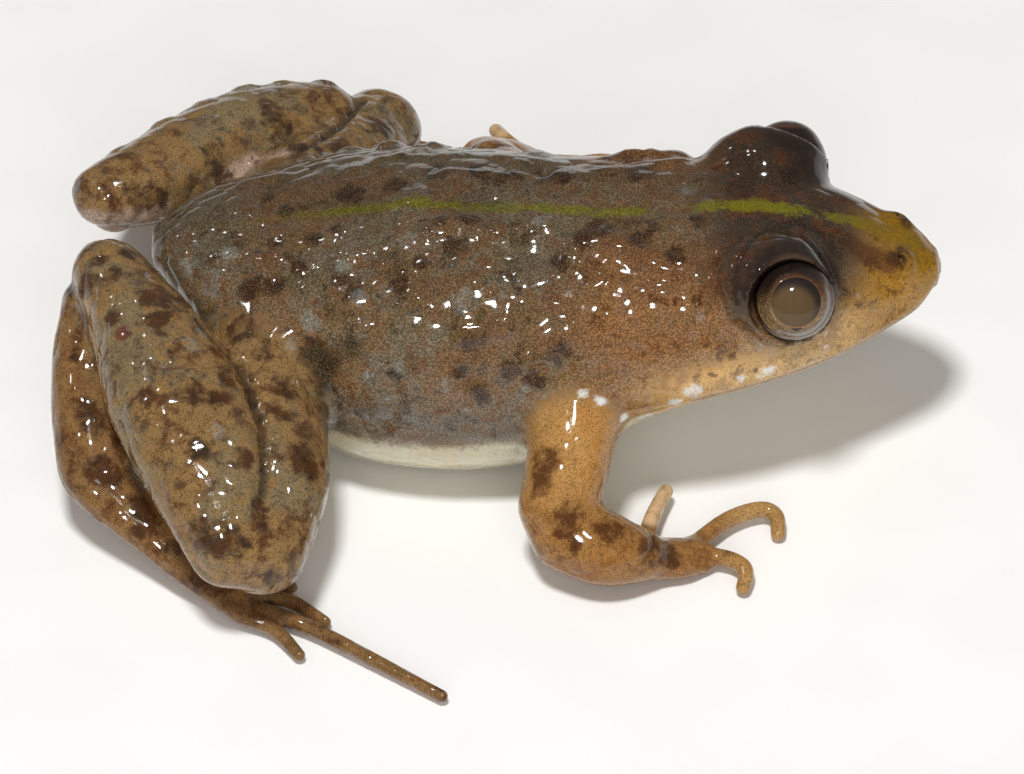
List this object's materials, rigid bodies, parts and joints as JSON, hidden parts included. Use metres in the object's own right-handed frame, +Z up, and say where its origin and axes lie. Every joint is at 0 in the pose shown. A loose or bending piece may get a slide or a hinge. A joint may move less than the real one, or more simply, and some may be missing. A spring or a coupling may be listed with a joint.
{
  "type": "dwarf swamp frog model",
  "caption": "Life-size still model of a small warty brown frog, sitting with head raised, thin green line down its back, folded hind legs and slender toes.",
  "frame": {"origin": "on the floor, under the middle of the model's whole box", "axes": "+X towards the snout, +Y towards the frog's left, +Z up from the floor"},
  "size_m": [0.018, 0.018, 0.0064],
  "materials": {
    "head_skin": "wet, finely warty amphibian skin, olive brown with russet and a golden ochre snout",
    "back_skin": "wet, warty amphibian skin, mottled olive brown and blue grey with a yellow green line",
    "limb_skin": "wet amphibian skin, ochre brown with dark blotches and bars",
    "eye": "glossy wet eye, dark iris with a golden ring round the pupil"
  },
  "bodies": {
    "root": {"torso": "back_skin", "head": "head_skin", "eye_left": "eye", "upper_arm_left": "limb_skin", "forearm_left": "limb_skin", "hand_left": "limb_skin", "thigh_left": "limb_skin", "shank_left": "limb_skin", "tarsus_left": "limb_skin", "foot_left": "limb_skin", "eye_right": "eye", "upper_arm_right": "limb_skin", "forearm_right": "limb_skin", "hand_right": "limb_skin", "thigh_right": "limb_skin", "shank_right": "limb_skin", "tarsus_right": "limb_skin", "foot_right": "limb_skin"}
  },
  "joints": []
}
